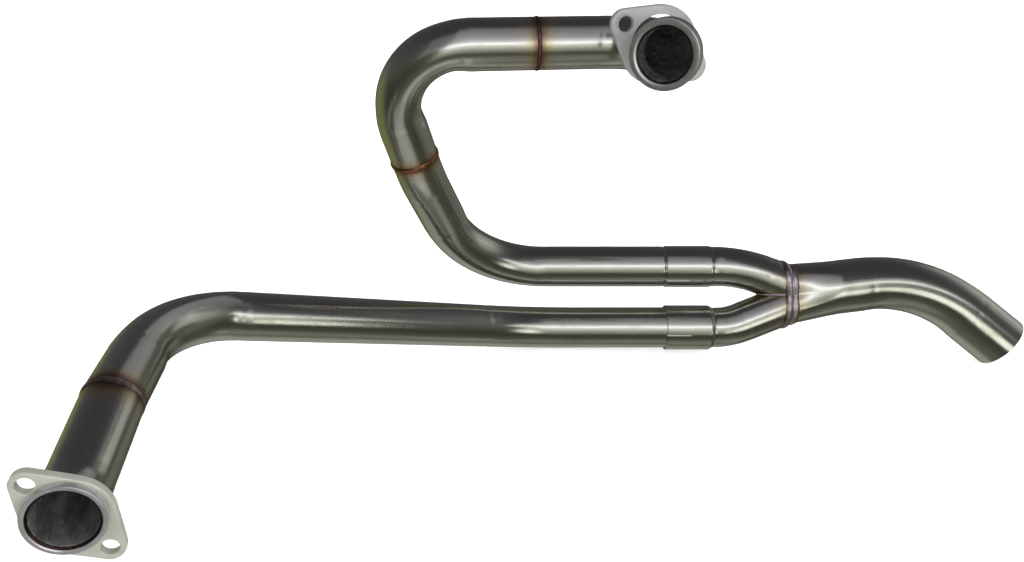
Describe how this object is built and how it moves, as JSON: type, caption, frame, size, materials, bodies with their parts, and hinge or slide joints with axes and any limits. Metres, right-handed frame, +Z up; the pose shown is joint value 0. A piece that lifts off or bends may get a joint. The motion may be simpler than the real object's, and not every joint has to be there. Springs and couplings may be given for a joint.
{
  "type": "motorcycle decat pipe",
  "caption": "Motorcycle decat pipe in stainless tube: bent header tubes with loose port flanges, slotted slip sockets, a welded merge collector and a bent outlet.",
  "frame": {"origin": "bottom centre of the bounding box, on the floor the pipe rests on", "axes": "+X from the header bends to the outlet, along the slip joints; +Y level, away from the port mouths; +Z up as the loose pipe comes to rest on a floor"},
  "size_m": [0.7495, 0.3988, 0.3096],
  "materials": {
    "tube": "satin stainless tube, brushed lengthwise, straw to violet heat tint near the welds",
    "weld": "rippled weld bead, brown to violet heat tint",
    "plate_front": "matte flat plate, slightly olive",
    "plate_rear": "matte flat plate, grey",
    "collar": "turned ring with a bright rim"
  },
  "bodies": {
    "root": {"collector_lower_leg": "tube", "collector_upper_leg": "tube", "fork_seam_weld": "weld", "front_collar": "collar", "front_flange": "plate_front", "front_mouth_weld": "weld", "front_pipe": "tube", "front_stub": "tube", "front_stub_weld": "weld", "merge_weld": "weld", "outlet_pipe": "tube", "rear_collar": "collar", "rear_elbow": "tube", "rear_elbow_weld": "weld", "rear_flange": "plate_rear", "rear_lower_bend": "tube", "rear_mid_weld": "weld", "rear_mouth_weld": "weld", "rear_upper_bend": "tube"}
  },
  "joints": []
}
